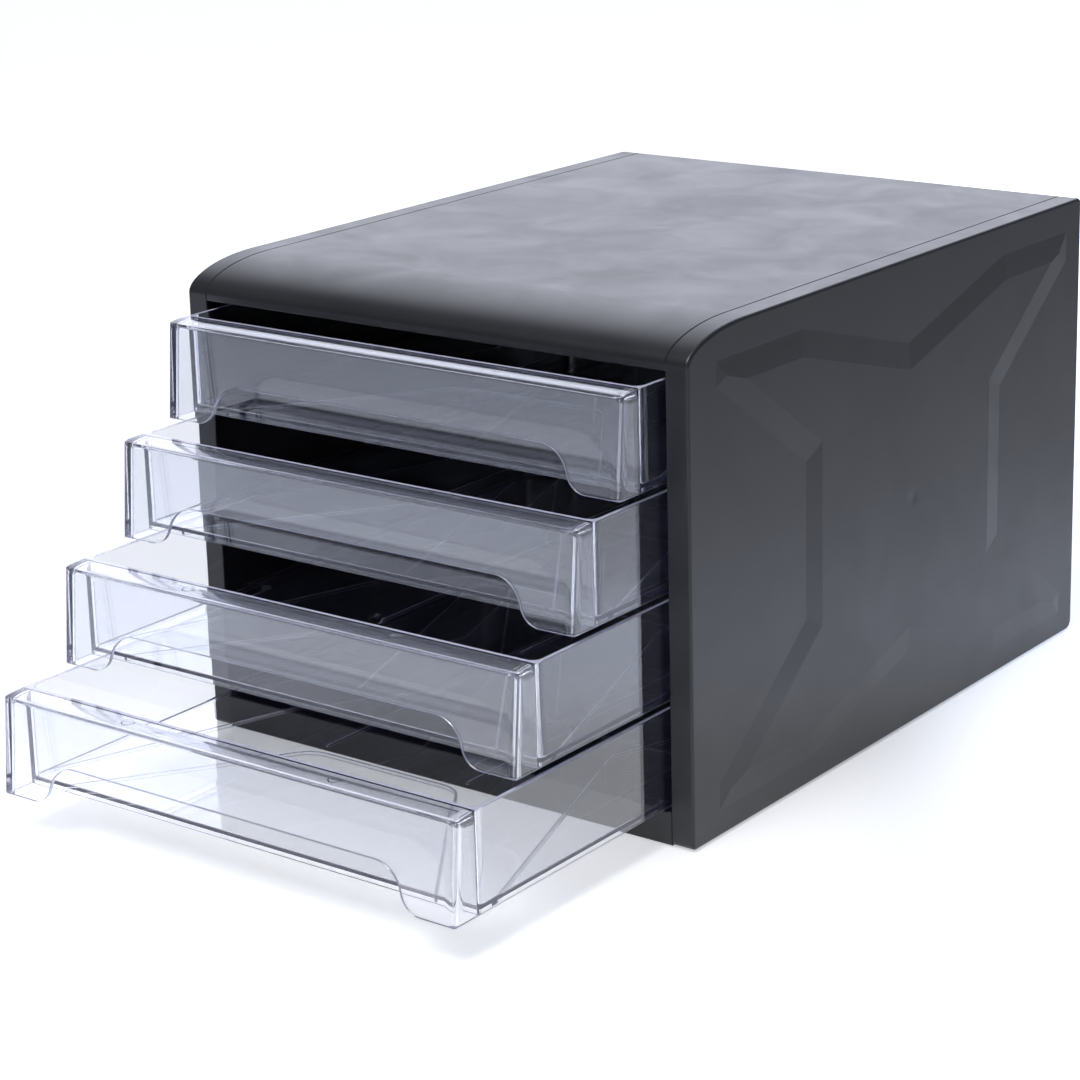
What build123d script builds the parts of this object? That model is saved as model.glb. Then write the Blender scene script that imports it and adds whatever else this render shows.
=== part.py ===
from build123d import *
import math
import os

# Desktop cabinet with four clear drawers, drawn out in steps.
# Millimetres. X to the right, the drawers open towards -Y, Z up.
# The origin is the bottom centre of the whole outline with the drawers
# standing out as pictured, on the plane that the feet stand on.

os.makedirs("parts", exist_ok=True)

# ---------------------------------------------------------------- dimensions
WIDTH = 270.0            # across the flat of the two side panels
DEPTH = 335.0            # cabinet, front face to rear edge
HEIGHT = 218.0           # panel underside to the top
FOOT_PROUD = 0.8         # feet below the panels
RIM = 11.0               # width of a side panel's front, top and rear faces
WALL = 2.5               # cabinet wall
NOSE_Y = 42.0            # curved top front edge, along the depth
NOSE_Z = 13.0            # and its drop
COVER_LIP_Z = 202.4      # lower edge of the top cover at the front
BAR_Z = 15.0             # top of the front bar under the drawers
STAR_PROUD = 0.95        # relief on the side panels
STAR_BEVEL = 11.75       # width of the relief's shallow flank

PITCH = 46.38            # drawer to drawer
TOP_DRAWER_Z = 155.54    # underside of the top drawer's front
OUT = (29.4, 61.5, 100.7, 140.3)   # how far each drawer stands out, top first
TRAVEL = 237.0           # closed to the stop

DW = 122.3               # drawer, half width
DL = 325.0               # drawer, front bottom edge to rear
DH = 43.2                # drawer height
LEAN = 3.86              # the front leans back by this over its height
HOOD_D = 16.7            # front bottom edge to the inside of the tray
SKIN = 2.0               # drawer wall
ROLL = 0.9               # the hood's top strip rolls down by this to the face
ROLL_Y = 11.0            # from here forwards
TRAY_R = 4.0             # inside the tray's front corners, sharp outside
HOOD_R = 3.6             # inside the hood's upright corners
FLOOR_TOP = 3.2
FLOOR_T = 1.3
SKIRT_Z = 0.2            # lower edge of the skirt round the floor
SKIRT_T = 1.6
EDGE_R = 0.3             # rounding of its free edges
RIB_T = 1.2              # ribs under the floor
WELL_WIDE = 102.5        # where the front rib meets the tray's front wall
CUT_TOP = 18.2           # finger cut-out height
CUT_IN = 81.7            # half width of its straight top
CUT_OUT = 105.0          # half width at the bottom of the front

FOOT_R = 8.0
FOOT_X = 104.0
FOOT_Y = 137.0

y0 = -DEPTH / 2
y1 = DEPTH / 2
hx = WIDTH / 2
ix = hx - RIM            # inner edge of the panel's front face

# the outline box is centred on the origin
SHIFT = Pos(0, (OUT[3] + DEPTH) / 2 - DEPTH / 2, FOOT_PROUD)


def yz(face, x_from, x_to):
    """Extrude a face drawn in (Y, Z) along X."""
    return extrude(Plane.YZ.offset(x_from) * face, amount=x_to - x_from)


def poly(*pts):
    return make_face(Polyline(*pts, close=True))


def block(xa, xb, ya, yb, za, zb):
    return Pos((xa + xb) / 2, (ya + yb) / 2, (za + zb) / 2) * Box(abs(xb - xa), abs(yb - ya), abs(zb - za))


def outline(t):
    """Side view of the cabinet, moved in by t all round."""
    a, b = NOSE_Y - t, NOSE_Z - t
    cy, cz = y0 + NOSE_Y, HEIGHT - NOSE_Z
    lines = [
        Line((y0 + t, t), (y0 + t, cz)),
        EllipticalCenterArc((cy, cz), a, b, start_angle=90, arc_size=90),
        Line((cy, HEIGHT - t), (y1 - t, HEIGHT - t)),
        Line((y1 - t, HEIGHT - t), (y1 - t, t)),
        Line((y1 - t, t), (y0 + t, t)),
    ]
    f = make_face(lines)
    r = {(y0, 0): 2.6, (y1, HEIGHT): 2.8, (y1, 0): 4.6}
    for (cy_, cz_), rad in r.items():
        want = (cy_ + (t if cy_ < 0 else -t), cz_ + (t if cz_ == 0 else -t))
        v = [v for v in f.vertices() if abs(v.X - want[0]) < .01 and abs(v.Y - want[1]) < .01]
        if v and rad - t > 0.3:
            f = fillet(v, rad - t)
    return f


# ------------------------------------------------------- relief on the sides
def star_relief():
    """Raised four-armed star: a closed solid of flat facets, base at x = 0."""
    P = [(19.5, 204), (85, 204), (172, 180), (257.5, 204), (320.5, 204), (320.5, 190),
         (256, 142), (256, 70), (320.5, 23), (320.5, 11.5), (252, 11.5), (173, 35.5),
         (90, 11.5), (19.5, 11.5), (19.5, 23), (86.8, 76), (86.8, 146), (19.5, 193)]
    P = [(y0 + a, b) for a, b in P]
    n = len(P)
    short = [4, 8, 13, 17]            # blunt ends of the four arms
    area = sum(P[i][0] * P[(i + 1) % n][1] - P[(i + 1) % n][0] * P[i][1] for i in range(n))
    sgn = 1 if area > 0 else -1

    def line(i):
        (ax, ay), (bx, by) = P[i], P[(i + 1) % n]
        L = math.hypot(bx - ax, by - ay)
        nx, ny = -(by - ay) / L * sgn, (bx - ax) / L * sgn
        return nx, ny, nx * ax + ny * ay

    def meet(i, j, t):
        a1, b1, c1 = line(i)
        a2, b2, c2 = line(j)
        d = a1 * b2 - a2 * b1
        return (((c1 + t) * b2 - (c2 + t) * b1) / d, (a1 * (c2 + t) - a2 * (c1 + t)) / d)

    def peak(i):
        """Where the three flanks at a blunt end meet, and how far in."""
        lo, hi = 0.0, STAR_BEVEL
        for _ in range(60):
            m = (lo + hi) / 2
            p, q = meet((i - 1) % n, i, m), meet(i, (i + 1) % n, m)
            (ax, ay), (bx, by) = P[i], P[(i + 1) % n]
            if (q[0] - p[0]) * (bx - ax) + (q[1] - p[1]) * (by - ay) > 0:
                lo = m
            else:
                hi = m
        return meet((i - 1) % n, i, lo), lo

    def up(p, t):
        return (STAR_PROUD * t / STAR_BEVEL, p[0], p[1])

    base = [(0, a, b) for a, b in P]
    top, faces = [], []
    inner = {}
    for i in range(n):
        if i in short:
            pk, t = peak(i)
            tip = meet((i - 1) % n, (i + 1) % n, STAR_BEVEL)
            inner[i] = (up(pk, t), up(tip, STAR_BEVEL))
            top.append(up(tip, STAR_BEVEL))
        elif (i - 1) % n not in short:
            top.append(up(meet((i - 1) % n, i, STAR_BEVEL), STAR_BEVEL))
    for i in range(n):
        a, b = base[i], base[(i + 1) % n]
        if i in short:
            faces.append([a, b, inner[i][0]])
            continue
        pts = [a, b]
        j = (i + 1) % n
        if j in short:
            pts += [inner[j][0], inner[j][1]]
        else:
            pts += [up(meet(i, j, STAR_BEVEL), STAR_BEVEL)]
        k = (i - 1) % n
        if k in short:
            pts += [inner[k][1], inner[k][0]]
        else:
            pts += [up(meet(k, i, STAR_BEVEL), STAR_BEVEL)]
        faces.append(pts)
    faces.append(top)
    faces.append(base)
    made = [Face(Wire(Polyline(*f, close=True).edges())) for f in faces]
    s = Solid(Shell(made))
    return s if s.volume > 0 else Solid(Shell([-f for f in made]))


# --------------------------------------------------------------- side panels
RAIL_IN = 118.0          # inner edge of the drawer rails
RAIL_T = 2.4
RAIL_Y0 = y0 + 22.5
RAIL_Y1 = y1 - 12.0
zb = [TOP_DRAWER_Z - PITCH * i for i in range(4)]
rail_tops = [z + SKIRT_Z - 0.3 for z in zb] + [TOP_DRAWER_Z + DH + 4.5]
LUG_Y = [y0 + 75, 0.0, y1 - 60]


def side_panel():
    p = yz(outline(0), ix, hx)
    edge = [e for e in p.edges() if abs(e.bounding_box().min.X - hx) < .01 and abs(e.bounding_box().max.X - hx) < .01]
    p = fillet(edge, 1.3)
    edge = [e for e in p.edges() if abs(e.bounding_box().min.X - ix) < .01 and abs(e.bounding_box().max.X - ix) < .01]
    p = chamfer(edge, 0.4)
    p -= yz(outline(WALL), ix - 1, hx - WALL)
    # flanges that the cover and the base clip to
    p += block(ix, ix + 2.0, y0 + 48, y1 - 12, HEIGHT - 10.5, HEIGHT - 1.2)
    p += block(ix, ix + 2.0, y0 + 20, y1 - 12, 1.2, 10.0)
    for y in LUG_Y:
        p -= block(ix - 1, ix + 3, y - 6.3, y + 6.3, HEIGHT - 8.4, HEIGHT - 4.8)
        p -= block(ix - 1, ix + 3, y - 6.3, y + 6.3, 6.3, 9.0)
    # rails for the drawers, and the guide over the top one
    for zt in rail_tops:
        r = block(RAIL_IN, hx - WALL + 0.3, RAIL_Y0, RAIL_Y1, zt - RAIL_T, zt)
        r = chamfer([e for e in r.edges() if abs(e.center().X - RAIL_IN) < .01 and abs(e.center().Y - RAIL_Y0) < .01], 3.0)
        p += r
    # rib that holds the back panel against the rear rim
    p += block(ix + 0.8, hx - WALL + 0.3, y1 - 8.0, y1 - 5.3, WALL, HEIGHT - WALL)
    p += Pos(hx - 0.01, 0, 0) * star_relief()
    return p


right = side_panel()
left = mirror(right, about=Plane.YZ)

# ----------------------------------------------------------------- top cover
ring = outline(0) - outline(WALL)
keep = poly((y0 - 1, COVER_LIP_Z), (y0 + 60, COVER_LIP_Z), (y0 + 60, 190), (y1 - 20, 190),
            (y1 - 20, HEIGHT - 10), (y1 + 1, HEIGHT - 10), (y1 + 1, HEIGHT + 1), (y0 - 1, HEIGHT + 1))
cover = yz(ring & keep, -ix, ix)
cover += block(-ix, ix, y0 + 0.6, y0 + 6.5, COVER_LIP_Z, COVER_LIP_Z + 2.2)
front_low = [e for e in cover.edges() if e.bounding_box().size.X > 200 and abs(e.center().Z - COVER_LIP_Z) < .05
             and abs(e.center().Y - y0) < .05]
cover = fillet(front_low, 0.9)
for s in (-1, 1):
    cover += block(s * (ix - 2.0), s * ix, y0 + 48, y1 - 12, HEIGHT - 10.5, HEIGHT - 1.2)
    for y in LUG_Y:
        cover += block(s * (ix - 1), s * (ix + 2.6), y - 6.0, y + 6.0, HEIGHT - 8.1, HEIGHT - 5.1)
for x in (-90, -45, 0, 45, 90):
    cover += block(x - 0.8, x + 0.8, y0 + 110, y1 - 16, HEIGHT - 6.0, HEIGHT - WALL + 0.3)
seam = [e for e in cover.edges() if abs(abs(e.center().X) - ix) < .01 and e.bounding_box().size.X < .01
        and e.center().Z > HEIGHT - 13.5 and e.length > 30
        and (abs(e.bounding_box().max.Z - HEIGHT) < .01)]
cover = chamfer(seam, 0.4)

# ---------------------------------------------------------------- base panel
base = block(-ix, ix, y0, y1, 3.5, 6.0)
base += block(-ix, ix, y0, y0 + WALL, 0, BAR_Z)
base += block(-ix, ix, y1 - WALL, y1, 0, 12.0)
base += block(-ix, ix, y0 + 1, y0 + 9.0, BAR_Z - 2.2, BAR_Z)
low = [e for e in base.edges() if e.bounding_box().size.X > 200 and abs(e.center().Y - y0) < .02
       and (abs(e.center().Z - BAR_Z) < .02 or abs(e.center().Z) < .02)]
base = fillet(low, 0.9)
for s in (-1, 1):
    base += block(s * (ix - 2.0), s * ix, y0 + 20, y1 - 12, 4.0, 12.0)
    for y in LUG_Y:
        base += block(s * (ix - 1), s * (ix + 2.6), y - 6.0, y + 6.0, 6.6, 8.7)
for x in (-78, -26, 26, 78):
    base += block(x - 0.8, x + 0.8, y0 + 1, y1 - 1, 0.6, 4.0)
for y in (-84, 0, 84):
    base += block(-ix, ix, y - 0.8, y + 0.8, 0.6, 4.0)
for sx in (-1, 1):
    for sy in (-1, 1):
        ringf = Pos(sx * FOOT_X, sy * FOOT_Y, 2.2) * (Cylinder(FOOT_R + 2.0, 2.8) - Cylinder(FOOT_R + 0.3, 4))
        base += ringf

# ---------------------------------------------------------------- back panel
back = block(-130.0, 130.0, y1 - WALL - 2.5, y1 - WALL, 6.0, HEIGHT - WALL)
back -= block(-131, -ix, y1 - 10, y1, 0, 12.5)
back -= block(ix, 131, y1 - 10, y1, 0, 12.5)
back -= block(-131, -ix + 0.2, y1 - 10, y1, HEIGHT - 11.5, HEIGHT)
back -= block(ix - 0.2, 131, y1 - 10, y1, HEIGHT - 11.5, HEIGHT)
field = Pos(0, y1 - WALL, HEIGHT / 2 + 2) * extrude(Plane.XZ * RectangleRounded(196, 150, 12), amount=-0.9, taper=45)
back += field

# --------------------------------------------------------------------- feet
foot = Pos(0, 0, (3.5 - FOOT_PROUD) / 2) * Cylinder(FOOT_R, 3.5 + FOOT_PROUD)
foot = chamfer(foot.edges().sort_by(Axis.Z)[0], 0.6)


# ------------------------------------------------------------------- drawers
def rounded_plan(half_x, ya, yb, r_front, r_rear):
    """Plan view of the tray: a rectangle with its own front and rear corners."""
    f = make_face(Polyline((-half_x, ya), (half_x, ya), (half_x, yb), (-half_x, yb), close=True))
    if r_front:
        f = fillet([v for v in f.vertices() if v.Y < (ya + yb) / 2], r_front)
    return fillet([v for v in f.vertices() if v.Y > yb - 0.01], r_rear)


def prism(face, za, zb_):
    return extrude(Pos(0, 0, za) * face, amount=zb_ - za)


def floor_ribs():
    """Outlines that the stiffening ribs under the floor follow."""
    run = (WELL_WIDE - 40) / (104 - (HOOD_D - SKIN))
    over = 8.0
    front = poly((-WELL_WIDE - over * run, HOOD_D - SKIN - over), (WELL_WIDE + over * run, HOOD_D - SKIN - over), (40, 104), (-40, 104))
    front = fillet([v for v in front.vertices() if v.Y > 100], 15)
    rear = mirror(front, about=Plane.XZ.offset(-170.0))
    vee = poly((71, 170), (140, -31), (140, 371))
    vee = fillet([v for v in vee.vertices() if v.X < 80], 8)
    out = []
    for f in (front, rear, vee, mirror(vee, about=Plane.YZ)):
        out.append(offset(f, RIB_T / 2, kind=Kind.INTERSECTION) - offset(f, -RIB_T / 2, kind=Kind.INTERSECTION))
    for x in (-39, 39):
        out.append(poly((x - RIB_T / 2, 112), (x + RIB_T / 2, 112), (x + RIB_T / 2, 228), (x - RIB_T / 2, 228)))
    return out


def drawer():
    """One clear drawer. y from its front bottom edge to the rear, z from the
    underside of its front tabs."""
    front = HOOD_D - SKIN
    shell = prism(rounded_plan(DW, front, DL, 0, 6.0), SKIRT_Z, DH)
    cavity = prism(rounded_plan(DW - SKIN, HOOD_D, DL - SKIN, TRAY_R, 6.0 - SKIN), FLOOR_TOP, DH + 5)
    cavity = fillet(cavity.faces().sort_by(Axis.Z)[0].edges(), 0.7)
    below = prism(rounded_plan(DW - SKIRT_T, front + SKIRT_T, DL - SKIRT_T, 1.5, 6.0 - SKIRT_T), SKIRT_Z - 3, FLOOR_TOP - FLOOR_T)
    # hood over the front: leaning face, top strip that rolls down to it, two returns
    z1 = DH - ROLL
    k = LEAN / DH

    def side_view(zlow, yrear):
        lean = [Line((k * zlow, zlow), (k * z1, z1)),
                TangentArc((ROLL_Y, DH), (k * z1, z1), tangent=(-1, 0)),
                Line((ROLL_Y, DH), (yrear, DH)), Line((yrear, DH), (yrear, zlow)), Line((yrear, zlow), (k * zlow, zlow))]
        return make_face(lean)

    reach = HOOD_D + 6.0
    hood = yz(side_view(0, reach), -DW, DW)
    hood = fillet([e for e in hood.edges() if abs(abs(e.center().X) - DW) < .01 and e.center().Y < LEAN and e.bounding_box().size.Z > 30], 0.9)
    inner = offset(side_view(-8, HOOD_D + 30), -SKIN, kind=Kind.INTERSECTION)
    inner = fillet([v for v in inner.vertices() if v.Y > DH - SKIN - 2.5 and v.X < 9], 0.9)
    hollow = yz(inner, -DW + SKIN, DW - SKIN)
    hollow = fillet([e for e in hollow.edges() if abs(abs(e.center().X) - (DW - SKIN)) < .01 and e.center().Y < 8 and e.bounding_box().size.Z > 30], HOOD_R)
    hood -= hollow
    hood -= block(-DW - 1, DW + 1, HOOD_D + 0.6, reach + 1, -1, SKIRT_Z)
    # finger cut-out in the face
    s = (CUT_OUT - CUT_IN, CUT_TOP)
    th = 2 * math.atan(s[1] / s[0])
    R = s[0] / math.sin(th)
    ra, rb = 0.42 * R, 0.58 * R
    mx, mz = CUT_OUT - ra * math.sin(th), ra * (1 - math.cos(th))
    ca, cb = math.cos(th / 2), math.sin(th / 2)
    am = (CUT_OUT - ra * cb, ra * (1 - ca))
    bm = (CUT_IN + rb * cb, CUT_TOP - rb * (1 - ca))
    cut = make_face([
        Line((-CUT_OUT, 0), (-CUT_OUT, -3)), Line((-CUT_OUT, -3), (CUT_OUT, -3)), Line((CUT_OUT, -3), (CUT_OUT, 0)),
        ThreePointArc((CUT_OUT, 0), am, (mx, mz)), ThreePointArc((mx, mz), bm, (CUT_IN, CUT_TOP)),
        Line((CUT_IN, CUT_TOP), (-CUT_IN, CUT_TOP)),
        ThreePointArc((-CUT_IN, CUT_TOP), (-bm[0], bm[1]), (-mx, mz)), ThreePointArc((-mx, mz), (-am[0], am[1]), (-CUT_OUT, 0)),
    ])
    hood -= extrude(Plane.XZ.offset(2) * cut, amount=-(front - 1 + 2))
    # every free edge is slightly rounded
    low = [e for e in hood.edges() if e.bounding_box().max.Z < CUT_TOP + 0.05 and e.bounding_box().size.Y < 15
           and (abs(e.bounding_box().max.Z) < .01 or (e.bounding_box().max.Y < 5 and e.bounding_box().size.Y < 2))
           and not (e.geom_type == GeomType.LINE and e.length < 3)]
    hood = fillet(low, EDGE_R)
    d = shell + hood
    d -= cavity
    d -= below
    rim = [e for e in d.edges() if e.bounding_box().min.Z > DH - 0.01 and not (e.length > 240 and e.center().Y < 12)]
    rim += [e for e in d.edges() if abs(abs(e.center().X) - DW) < .05 and e.bounding_box().min.Z > DH - ROLL - .1
            and e.center().Y < ROLL_Y and e.bounding_box().max.Z > DH - .01]
    rim = {(round(e.center().X, 3), round(e.center().Y, 3)): e for e in rim}
    d = fillet(list(rim.values()), EDGE_R)
    inside = rounded_plan(DW - SKIRT_T + .2, front + SKIRT_T - .2, DL - SKIRT_T + .2, 1.5, 6.0 - SKIRT_T)
    for f in floor_ribs():
        d += prism(inside & f, SKIRT_Z + 0.3, FLOOR_TOP - FLOOR_T + 0.1)
    # stop lugs that catch behind the side panels' front rims
    for sgn in (-1, 1):
        d += block(sgn * (DW - 0.5), sgn * (DW + 3.6), TRAVEL + 2.9, TRAVEL + 8.9, 3.0, 8.0)
    # ejector marks under the top strip
    for x in (-56, 56):
        d += Pos(x, 10.6, DH - SKIN - 0.15) * (Cylinder(2.9, 0.5) - Cylinder(2.4, 1.0))
    return d


dr = drawer()
drawers = [Pos(0, y0 - OUT[i], zb[i]) * dr for i in range(4)]

# -------------------------------------------------------------------- export
nodes = {
    "left_side_panel": left,
    "right_side_panel": right,
    "top_cover": cover,
    "base_panel": base,
    "back_panel": back,
    "drawer_top": drawers[0],
    "drawer_second": drawers[1],
    "drawer_third": drawers[2],
    "drawer_bottom": drawers[3],
    "foot_front_left": Pos(-FOOT_X, -FOOT_Y, 0) * foot,
    "foot_front_right": Pos(FOOT_X, -FOOT_Y, 0) * foot,
    "foot_rear_left": Pos(-FOOT_X, FOOT_Y, 0) * foot,
    "foot_rear_right": Pos(FOOT_X, FOOT_Y, 0) * foot,
}
for name, shape in nodes.items():
    shape = SHIFT * shape
    sol = shape.solids()
    out = sol[0] if len(sol) == 1 else Compound(sol)
    export_step(out, f"parts/{name}.step")
    bb = out.bounding_box()
    print(f"{name:18s} solids {len(sol)} vol {out.volume/1000:8.1f} cm3 valid {out.is_valid} "
          f"box {bb.min.X:7.1f} {bb.min.Y:7.1f} {bb.min.Z:7.1f} .. {bb.max.X:7.1f} {bb.max.Y:7.1f} {bb.max.Z:7.1f}")
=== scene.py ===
import math

import bpy
from mathutils import Matrix, Vector


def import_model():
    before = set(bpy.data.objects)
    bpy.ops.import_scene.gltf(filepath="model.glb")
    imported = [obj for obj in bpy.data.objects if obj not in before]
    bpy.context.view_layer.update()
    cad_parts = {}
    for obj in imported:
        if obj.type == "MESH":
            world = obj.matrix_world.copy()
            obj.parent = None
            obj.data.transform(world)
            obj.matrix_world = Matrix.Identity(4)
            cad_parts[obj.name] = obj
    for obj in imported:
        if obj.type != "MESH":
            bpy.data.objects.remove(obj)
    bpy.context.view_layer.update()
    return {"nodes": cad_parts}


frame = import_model()
nodes = frame["nodes"]
scene = bpy.context.scene
# on the CAD: the cabinet's front face, its flat sides and its outline
Y_FRONT, Y_REAR = -0.09735, 0.23765
X_SIDE, Z_FOOT, Z_TOP = 0.135, 0.0008, 0.2188


# ------------------------------------------------------------------- camera
def camera():
    az, el, roll = (math.radians(a) for a in (36.7989, 15.84, -1.3468))
    back = Vector((math.sin(az) * math.cos(el), -math.cos(az) * math.cos(el), math.sin(el)))
    right = (-back).cross(Vector((0, 0, 1))).normalized()
    up = right.cross(-back)
    r = math.cos(roll) * right + math.sin(roll) * up
    u = -math.sin(roll) * right + math.cos(roll) * up
    cam = bpy.data.cameras.new("camera")
    ob = bpy.data.objects.new("camera", cam)
    scene.collection.objects.link(ob)
    m = Matrix((r, u, back)).transposed().to_4x4()
    m.translation = Vector((0.76168, -1.00701, 0.48293))
    ob.matrix_world = m
    cam.sensor_width = 36.0
    cam.lens = 2898.86 / 1080 * 36.0
    cam.shift_x = (540 - 580) / 1080
    cam.shift_y = (460 - 540) / 1080
    cam.clip_start, cam.clip_end = 0.05, 60
    scene.camera = ob


camera()


# ---------------------------------------------------------------- node tools
class Tree:
    """Small helper to wire a node tree."""

    def __init__(self, name):
        self.mat = bpy.data.materials.new(name)
        self.mat.use_nodes = True
        self.nt = self.mat.node_tree
        self.nt.nodes.clear()
        self.out = self.nt.nodes.new("ShaderNodeOutputMaterial")

    def add(self, kind, inputs=None, **props):
        n = self.nt.nodes.new(kind)
        for k, v in props.items():
            setattr(n, k, v)
        for k, v in (inputs or {}).items():
            s = n.inputs[k]
            if isinstance(v, bpy.types.NodeSocket):
                self.nt.links.new(v, s)
            else:
                s.default_value = v
        return n

    def math(self, op, a, b=None, c=None, clamp=False):
        n = self.nt.nodes.new("ShaderNodeMath")
        n.operation, n.use_clamp = op, clamp
        for i, v in enumerate((a, b, c)):
            if v is None:
                continue
            if isinstance(v, bpy.types.NodeSocket):
                self.nt.links.new(v, n.inputs[i])
            else:
                n.inputs[i].default_value = v
        return n.outputs[0]

    def place(self):
        """Object coordinates and their three parts."""
        tc = self.add("ShaderNodeTexCoord")
        sep = self.add("ShaderNodeSeparateXYZ", {0: tc.outputs["Object"]})
        return tc.outputs["Object"], sep.outputs

    def noise(self, at, scale, detail=2.0, rough=0.5, distort=0.0):
        return self.add("ShaderNodeTexNoise", {"Vector": at, "Scale": scale, "Detail": detail, "Roughness": rough,
                                               "Distortion": distort}).outputs["Fac"]

    def remap(self, v, a, b, c, d, smooth=False):
        n = self.add("ShaderNodeMapRange", {"Value": v, "From Min": a, "From Max": b, "To Min": c, "To Max": d})
        if smooth:
            n.interpolation_type = "SMOOTHSTEP"
        return n.outputs["Result"]


# ----------------------------------------------------------------- materials
def cabinet_plastic(name, side=False, top=False):
    """Black injection-moulded housing: satin, with a fine spark grain, cloudy
    flow marks and, over the rails, faint sink lines."""
    t = Tree(name)
    at, (x, y, z) = t.place()
    grain = t.noise(at, 1900.0, 2.0, 0.6)
    cloud = t.noise(at, 26.0, 3.0, 0.55, 0.6)
    wide = t.noise(at, 7.0, 2.0, 0.5)
    height = t.math("MULTIPLY", grain, 0.0000045)
    height = t.math("MULTIPLY_ADD", cloud, 0.000024 if top else 0.00005, height)
    height = t.math("MULTIPLY_ADD", wide, 0.00009 if top else 0.00012, height)

    def dent(v, centre, width):
        d = t.math("DIVIDE", t.math("SUBTRACT", v, centre), width)
        return t.math("EXPONENT", t.math("MULTIPLY", t.math("MULTIPLY", d, d), -1.0))

    if side:                              # sink lines over the rails, and the gate's dimple
        for level in (0.0618, 0.1088, 0.1548, 0.2028):
            height = t.math("MULTIPLY_ADD", dent(z, level, 0.0022), -0.000022, height)
        spot = t.math("MULTIPLY", dent(z, 0.1088, 0.0032), dent(y, Y_FRONT + 0.175, 0.0032))
        height = t.math("MULTIPLY_ADD", spot, -0.00016, height)
    if top:
        spot = t.math("MULTIPLY", dent(x, 0.0, 0.0035), dent(y, Y_FRONT + 0.175, 0.0035))
        height = t.math("MULTIPLY_ADD", t.math("MULTIPLY", spot, t.math("GREATER_THAN", z, 0.217)), -0.00012, height)
    rough = t.remap(cloud, 0.3, 0.7, 0.27, 0.36)
    rough = t.math("MULTIPLY_ADD", grain, 0.05, rough)
    shade = t.remap(wide, 0.3, 0.7, 0.0, 1.0)
    colour = t.add("ShaderNodeMix", {0: shade, 6: (0.0118, 0.0122, 0.0142, 1), 7: (0.0150, 0.0154, 0.0178, 1)},
                   data_type="RGBA").outputs[2]
    bump = t.add("ShaderNodeBump", {"Height": height, "Strength": 1.0, "Distance": 1.0})
    p = t.add("ShaderNodeBsdfPrincipled", {"Base Color": colour, "Roughness": rough, "Normal": bump.outputs[0]})
    p.inputs["IOR"].default_value = 1.5
    t.nt.links.new(p.outputs[0], t.out.inputs["Surface"])
    return t.mat


SHEEN = 0.08
EDGE_HIGHLIGHT_FROST = 0.85                      # how much of the light the frosted edges scatter; their pale tone is a painted edge highlight


def clear_plastic(name, front, base):
    """Crystal-clear polystyrene with a trace of blue toner: see-through walls,
    violet where light runs along them. Rims, skirt, cut-out and the step by the
    front wall are made frosted and pale violet: a painted highlight standing in
    for the bright edges of the clear plastic. front and base are the drawer's
    front and lower edge."""
    t = Tree(name)
    at, (x, y, z) = t.place()
    n = t.add("ShaderNodeSeparateXYZ", {0: t.add("ShaderNodeNewGeometry").outputs["Normal"]}).outputs
    wide, deep, high = t.math("ABSOLUTE", x), t.math("SUBTRACT", y, front), t.math("SUBTRACT", z, base)
    level = t.math("GREATER_THAN", t.math("ABSOLUTE", n[2]), 0.8)
    upright = t.math("LESS_THAN", t.math("ABSOLUTE", n[1]), 0.4)
    behind = t.math("GREATER_THAN", deep, 0.0147)
    rim = t.math("MULTIPLY", t.math("MULTIPLY", level, t.math("GREATER_THAN", high, 0.0428)), behind)
    skirt = t.math("MULTIPLY", level, t.math("LESS_THAN", high, 0.0006))
    cut = t.math("MULTIPLY", upright, t.math("MULTIPLY", t.math("LESS_THAN", deep, 0.0050), t.math("LESS_THAN", high, 0.0190)))
    cut = t.math("MULTIPLY", cut, t.math("LESS_THAN", wide, 0.108))
    outer = t.math("GREATER_THAN", wide, 0.1200)
    wall = t.math("MULTIPLY", t.math("GREATER_THAN", deep, 0.0146), t.math("LESS_THAN", deep, 0.0170))
    step = t.math("MULTIPLY", t.math("MULTIPLY", outer, wall), t.math("GREATER_THAN", t.math("ABSOLUTE", n[1]), 0.6))
    # painted highlight: rims, skirt, cut-out and step are gathered into the mask that frosts and pales the edges
    painted_edge_highlight = t.math("MAXIMUM", t.math("MAXIMUM", rim, t.math("MULTIPLY", step, 0.6)), t.math("MAXIMUM", skirt, cut))
    painted_edge_highlight = t.math("MULTIPLY", painted_edge_highlight, t.remap(t.noise(at, 300.0, 2.0), 0.3, 0.7, 0.8, 1.0))
    flow = t.noise(at, 22.0, 1.0, 0.4, 0.3)
    bump = t.add("ShaderNodeBump", {"Height": t.math("MULTIPLY", flow, 0.000008), "Strength": 1.0, "Distance": 1.0})
    # pale violet painted edge highlight on the frosted edges
    tone = t.add("ShaderNodeMix", {0: painted_edge_highlight, 6: (0.955, 0.965, 0.98, 1), 7: (0.80, 0.81, 1.0, 1)},
                 data_type="RGBA").outputs[2]
    p = t.add("ShaderNodeBsdfPrincipled", {"Normal": bump.outputs[0], "Base Color": tone,
                                           "Transmission Weight": t.math("MULTIPLY_ADD", painted_edge_highlight, -EDGE_HIGHLIGHT_FROST, 1.0)})
    p.inputs["Sheen Weight"].default_value = SHEEN
    p.inputs["Sheen Roughness"].default_value = 0.5
    p.inputs["Sheen Tint"].default_value = (0.45, 0.48, 1.0, 1)
    p.inputs["Roughness"].default_value = 0.0
    p.inputs["IOR"].default_value = 1.58
    p.inputs["Coat Weight"].default_value = 0.42
    p.inputs["Coat Roughness"].default_value = 0.0
    p.inputs["Coat IOR"].default_value = 1.6
    t.nt.links.new(p.outputs[0], t.out.inputs["Surface"])
    v = t.add("ShaderNodeVolumeAbsorption")
    v.inputs["Color"].default_value = (0.46, 0.46, 0.88, 1)
    v.inputs["Density"].default_value = 12.0
    t.nt.links.new(v.outputs[0], t.out.inputs["Volume"])
    return t.mat


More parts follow.
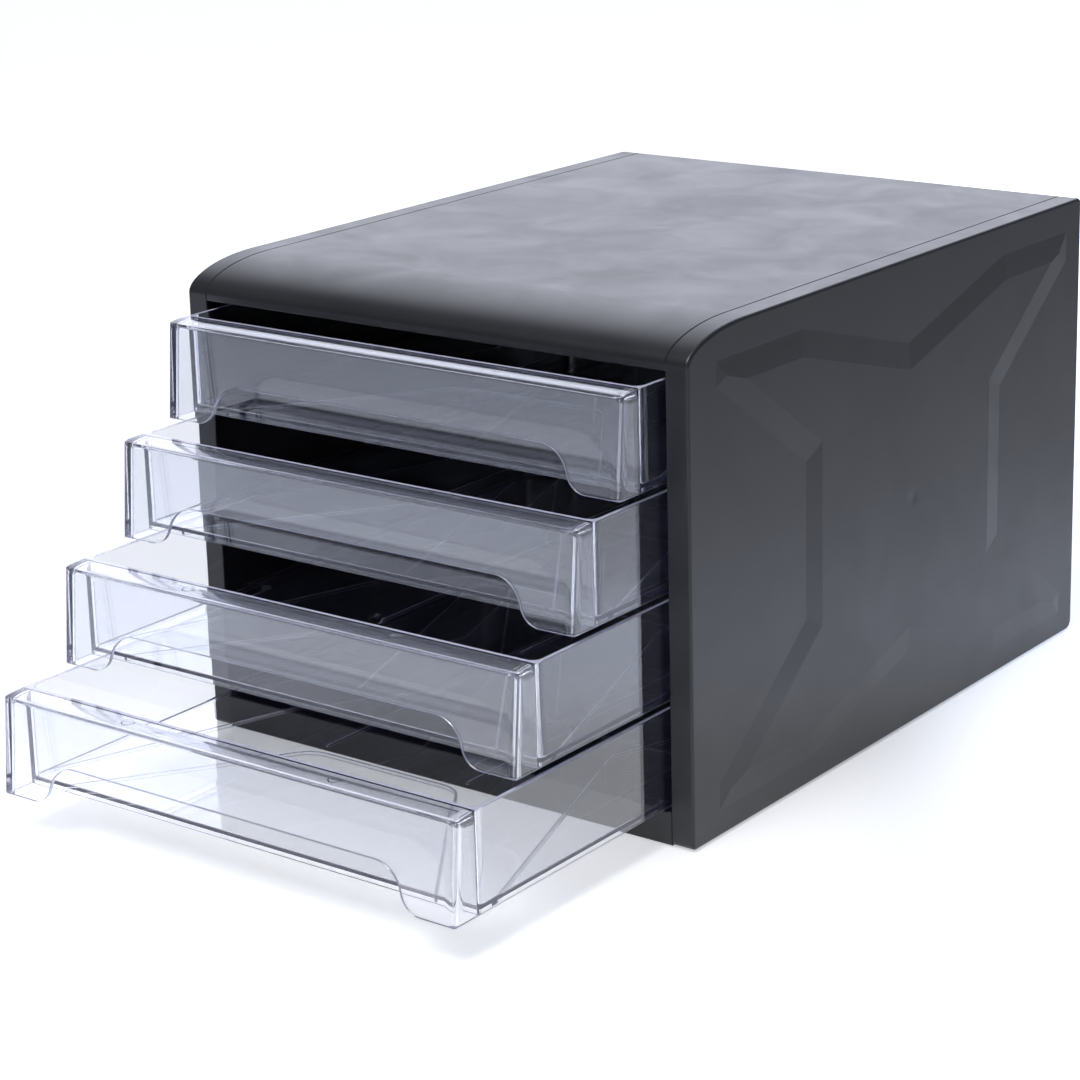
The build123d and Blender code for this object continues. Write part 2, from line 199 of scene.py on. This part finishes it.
def rubber(name):
    t = Tree(name)
    at, _ = t.place()
    fine = t.noise(at, 1400.0, 3.0, 0.7)
    bump = t.add("ShaderNodeBump", {"Height": t.math("MULTIPLY", fine, 0.00002), "Strength": 1.0, "Distance": 1.0})
    colour = t.add("ShaderNodeMix", {0: fine, 6: (0.012, 0.012, 0.012, 1), 7: (0.025, 0.025, 0.026, 1)},
                   data_type="RGBA").outputs[2]
    p = t.add("ShaderNodeBsdfPrincipled", {"Base Color": colour, "Normal": bump.outputs[0],
                                           "Roughness": t.remap(fine, 0.3, 0.7, 0.62, 0.8)})
    t.nt.links.new(p.outputs[0], t.out.inputs["Surface"])
    return t.mat


def dress(node, mat):
    """Put mat in every material slot of a CAD node."""
    slots = nodes[node].material_slots
    if not slots:
        nodes[node].data.materials.append(mat)
    for s in slots:
        s.material = mat


side_mat = cabinet_plastic("cabinet_side", side=True)
top_mat = cabinet_plastic("cabinet_top", top=True)
foot_mat = rubber("foot")
for n in ("left_side_panel", "right_side_panel"):
    dress(n, side_mat)
for n in ("top_cover", "base_panel", "back_panel"):
    dress(n, top_mat)
for i, (n, out) in enumerate((("drawer_top", 0.0294), ("drawer_second", 0.0615), ("drawer_third", 0.1007),
                              ("drawer_bottom", 0.1403))):
    dress(n, clear_plastic("clear_" + n, Y_FRONT - out, 0.15634 - 0.04638 * i))
for n in ("foot_front_left", "foot_front_right", "foot_rear_left", "foot_rear_right"):
    dress(n, foot_mat)


# --------------------------------------------------------------------- stage
LIGHT = (0.985, 1.0, 1.035)       # over the pale floor
OUTER = (0.85, 0.95, 1.21)        # cooler light from the sides


def floor():
    """A pale sheet that glows like a light table: a soft pool of light painted into
    its emission round the object, running on behind it and fading out to both sides."""
    me = bpy.data.meshes.new("floor")
    h = 14.0
    me.from_pydata([(-h, -h, 0), (h, -h, 0), (h, h, 0), (-h, h, 0)], [], [(0, 1, 2, 3)])
    ob = bpy.data.objects.new("floor", me)
    scene.collection.objects.link(ob)
    t = Tree("pale_floor")
    at, (x, y, z) = t.place()
    along = t.math("MULTIPLY_ADD", x, -0.599, t.math("MULTIPLY", y, 0.80))
    across = t.math("MULTIPLY_ADD", x, 0.80, t.math("MULTIPLY", y, 0.599))
    widen = t.math("MULTIPLY_ADD", t.math("MAXIMUM", along, 0.0), 0.75, 1.0)
    side = t.math("DIVIDE", across, widen)
    far = t.remap(along, 0.25, 1.3, 1.0, FAR, True)
    right = t.math("MULTIPLY", t.remap(side, POOL[0], POOL[1], 1.0, 0.0, True), far)
    band = t.math("MULTIPLY", t.remap(side, 0.13, 0.24, 0.0, 1.1, True), t.remap(side, 0.30, 0.42, 1.0, 0.0, True))
    right = t.math("MULTIPLY", right, t.math("ADD", band, 1.0))
    near_left = t.remap(side, -0.34, -0.50, 1.0, POOL[4], True)
    left = t.remap(side, -POOL[2], -POOL[3], 1.0, 0.35, True)
    front = t.remap(along, -0.9, -1.8, 1.0, 0.3, True)
    glow = t.math("MULTIPLY", t.math("MULTIPLY", right, left), t.math("MULTIPLY", front, near_left))
    glow = t.math("MULTIPLY_ADD", glow, GLOW, GLOW_BASE)
    # painted light: extra floor glow round the spot under the open drawers, to lift their shadow
    away = t.math("SQRT", t.math("MULTIPLY_ADD", x, x, t.math("POWER", t.math("ABSOLUTE", t.math("ADD", y, 0.17)), 2.0)))
    glow = t.math("ADD", glow, t.remap(away, 0.10, 0.27, PAINTED_SHADOW_FILL, 0.0, True))
    c = t.add("ShaderNodeMix", {0: t.noise(at, 3.0, 2.0), 6: (0.80, 0.80, 0.805, 1), 7: (0.83, 0.83, 0.83, 1)},
              data_type="RGBA").outputs[2]
    inner = t.math("MULTIPLY", t.remap(side, 0.10, 0.28, 1.0, 0.0, True), t.remap(side, -0.22, -0.5, 1.0, 0.0, True))
    tint = t.add("ShaderNodeMix", {0: inner, 6: (*OUTER, 1), 7: (*LIGHT, 1)}, data_type="RGBA").outputs[2]
    p = t.add("ShaderNodeBsdfPrincipled", {"Base Color": c, "Roughness": 0.9, "Emission Strength": glow,
                                           "Emission Color": tint})
    p.inputs["Specular IOR Level"].default_value = 0.2
    t.nt.links.new(p.outputs[0], t.out.inputs["Surface"])
    me.materials.append(t.mat)


def world():
    w = bpy.data.worlds.new("studio")
    scene.world = w
    w.use_nodes = True
    nt = w.node_tree
    nt.nodes.clear()
    out = nt.nodes.new("ShaderNodeOutputWorld")
    bg = nt.nodes.new("ShaderNodeBackground")
    nt.links.new(bg.outputs[0], out.inputs[0])
    tc = nt.nodes.new("ShaderNodeTexCoord")

    def lobe(direction, a, b, strength):
        d = nt.nodes.new("ShaderNodeVectorMath")
        d.operation = "DOT_PRODUCT"
        nt.links.new(tc.outputs["Generated"], d.inputs[0])
        d.inputs[1].default_value = Vector(direction).normalized()
        m = nt.nodes.new("ShaderNodeMapRange")
        m.interpolation_type = "SMOOTHSTEP"
        nt.links.new(d.outputs["Value"], m.inputs["Value"])
        for k, v in zip(("From Min", "From Max", "To Min", "To Max"), (a, b, 0.0, strength)):
            m.inputs[k].default_value = v
        return m.outputs["Result"]

    total = None
    for args in WORLD_LOBES:
        o = lobe(*args)
        if total is None:
            total = o
        else:
            n = nt.nodes.new("ShaderNodeMath")
            nt.links.new(total, n.inputs[0])
            nt.links.new(o, n.inputs[1])
            total = n.outputs[0]
    n = nt.nodes.new("ShaderNodeMath")
    nt.links.new(total, n.inputs[0])
    n.inputs[1].default_value = WORLD_BASE
    nt.links.new(n.outputs[0], bg.inputs["Strength"])
    bg.inputs["Color"].default_value = (0.93, 0.965, 1.10, 1)


def area(name, at, to, size, power, spread=180.0):
    d = bpy.data.lights.new(name, "AREA")
    d.shape, d.size, d.energy, d.color = "DISK", size, power, LIGHT
    d.spread = math.radians(spread)
    ob = bpy.data.objects.new(name, d)
    scene.collection.objects.link(ob)
    ob.location = at
    ob.rotation_mode = "QUATERNION"
    ob.rotation_quaternion = (Vector(to) - Vector(at)).to_track_quat("-Z", "Y")


WORLD_BASE = 0.2
WORLD_LOBES = [((-0.568, 0.78, 0.20), 0.68, 0.97, 1.65)]
POOL = (0.28, 0.80, 0.65, 1.7, 1.35)
GLOW, GLOW_BASE, FAR = 0.34, 0.02, 2.0
PAINTED_SHADOW_FILL = 0.22                        # painted extra floor glow under the open drawers, lifting the shadow they cast
floor()
world()
area("key", (-0.1, 0.5, 2.3), (0.0, 0.1, 0.0), 1.6, 5)
area("front", (0.1, -1.2, 2.2), (0.0, -0.05, 0.0), 1.5, 6.5, 64)

scene.view_settings.view_transform = "Standard"
scene.view_settings.look = "None"
scene.cycles.max_bounces = 24
scene.cycles.transmission_bounces = 24
scene.cycles.glossy_bounces = 8
scene.cycles.diffuse_bounces = 4
scene.cycles.transparent_max_bounces = 24
scene.cycles.use_denoising = True
